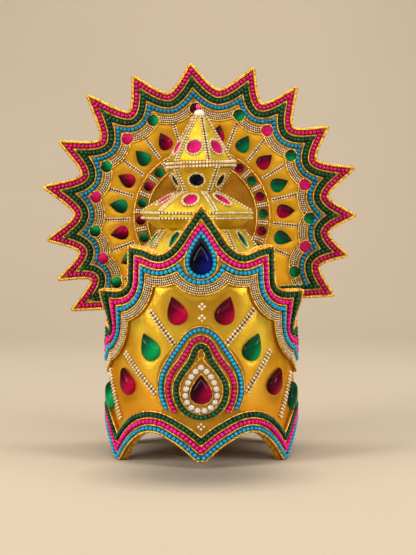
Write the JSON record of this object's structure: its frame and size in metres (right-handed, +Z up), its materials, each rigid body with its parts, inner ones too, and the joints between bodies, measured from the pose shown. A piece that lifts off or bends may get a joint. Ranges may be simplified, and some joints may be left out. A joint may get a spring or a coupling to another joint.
{
  "type": "dance crown",
  "caption": "Tall padded dance crown with scalloped beaded borders, drop cabochons and a medallion, a domed cap with a tiered spire, and a sunburst disc behind.",
  "frame": {"origin": "on the axis of the head opening, at the level of the feet", "axes": "+Z up, front of the crown towards -Y, +X to the viewer's right"},
  "size_m": [0.3296, 0.2103, 0.397],
  "materials": {
    "gold_cloth": "satin grained gold cloth over a padded core",
    "beadwork": "rows of round beads between gold cords",
    "pearl": "pearl lustre",
    "ruby": "polished red cabochon",
    "emerald": "polished green cabochon",
    "sapphire": "polished deep blue cabochon",
    "pink_bead": "glossy pink",
    "post_steel": "plain, painted dull gold"
  },
  "bodies": {
    "root": {"band": "gold_cloth", "bottom_border": "beadwork", "cap": "gold_cloth", "cone": "gold_cloth", "disc": "gold_cloth", "disc_border": "beadwork", "disc_drop_01": "emerald", "disc_drop_02": "ruby", "disc_drop_03": "emerald", "disc_drop_04": "ruby", "disc_drop_05": "emerald", "disc_drop_06": "ruby", "disc_drop_07": "emerald", "disc_drop_08": "ruby", "disc_drop_09": "emerald", "disc_drop_10": "ruby", "disc_drop_11": "emerald", "disc_drop_12": "ruby", "disc_drop_13": "emerald", "disc_ring": "gold_cloth", "disc_round_01": "emerald", "disc_round_02": "ruby", "disc_round_03": "emerald", "disc_round_04": "ruby", "disc_round_05": "emerald", "disc_round_06": "ruby", "disc_round_07": "emerald", "disc_round_08": "ruby", "disc_round_09": "emerald", "disc_round_10": "ruby", "disc_round_11": "emerald", "disc_round_12": "ruby", "disc_round_13": "emerald", "disc_round_14": "ruby", "disc_round_15": "emerald", "emerald_drop_middle_left": "emerald", "emerald_drop_middle_right": "emerald", "emerald_drop_side_left": "emerald", "emerald_drop_side_right": "emerald", "finial_bead": "pink_bead", "finial_pearl": "pearl", "medallion": "beadwork", "pearl_ring": "pearl", "post": "post_steel", "rim_tier": "gold_cloth", "ruby_drop_lower_left": "ruby", "ruby_drop_lower_right": "ruby", "ruby_drop_medallion": "ruby", "ruby_drop_upper_left": "ruby", "ruby_drop_upper_right": "ruby", "sapphire_drop": "sapphire", "top_border": "beadwork", "waist_tier": "gold_cloth"}
  },
  "joints": []
}
